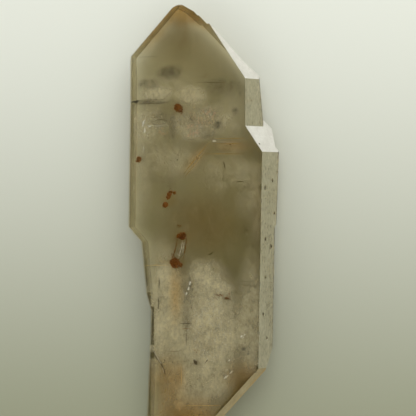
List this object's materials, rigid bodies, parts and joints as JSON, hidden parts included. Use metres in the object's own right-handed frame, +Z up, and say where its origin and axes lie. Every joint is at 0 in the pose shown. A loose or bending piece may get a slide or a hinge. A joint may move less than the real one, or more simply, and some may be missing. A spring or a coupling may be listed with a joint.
{
  "type": "smoky quartz double point",
  "caption": "Flat, see-through smoky quartz crystal with a point at each end, grown from parallel crystals whose steps show at the sides and on the back.",
  "frame": {"origin": "on the surface it rests on, under the middle of its box", "axes": "+Y along the crystal to the iron-stained point, +X to the right as seen from the front, +Z up, out of the broad front face"},
  "size_m": [0.04, 0.1182, 0.0109],
  "materials": {
    "smoky_quartz": "clear natural crystal faces, smoky brown inside",
    "milky_veil": "cloudy healed fractures inside the crystal",
    "iron_stain": "dull rusty iron oxide"
  },
  "bodies": {
    "root": {"crystal": "smoky_quartz"}
  },
  "joints": []
}
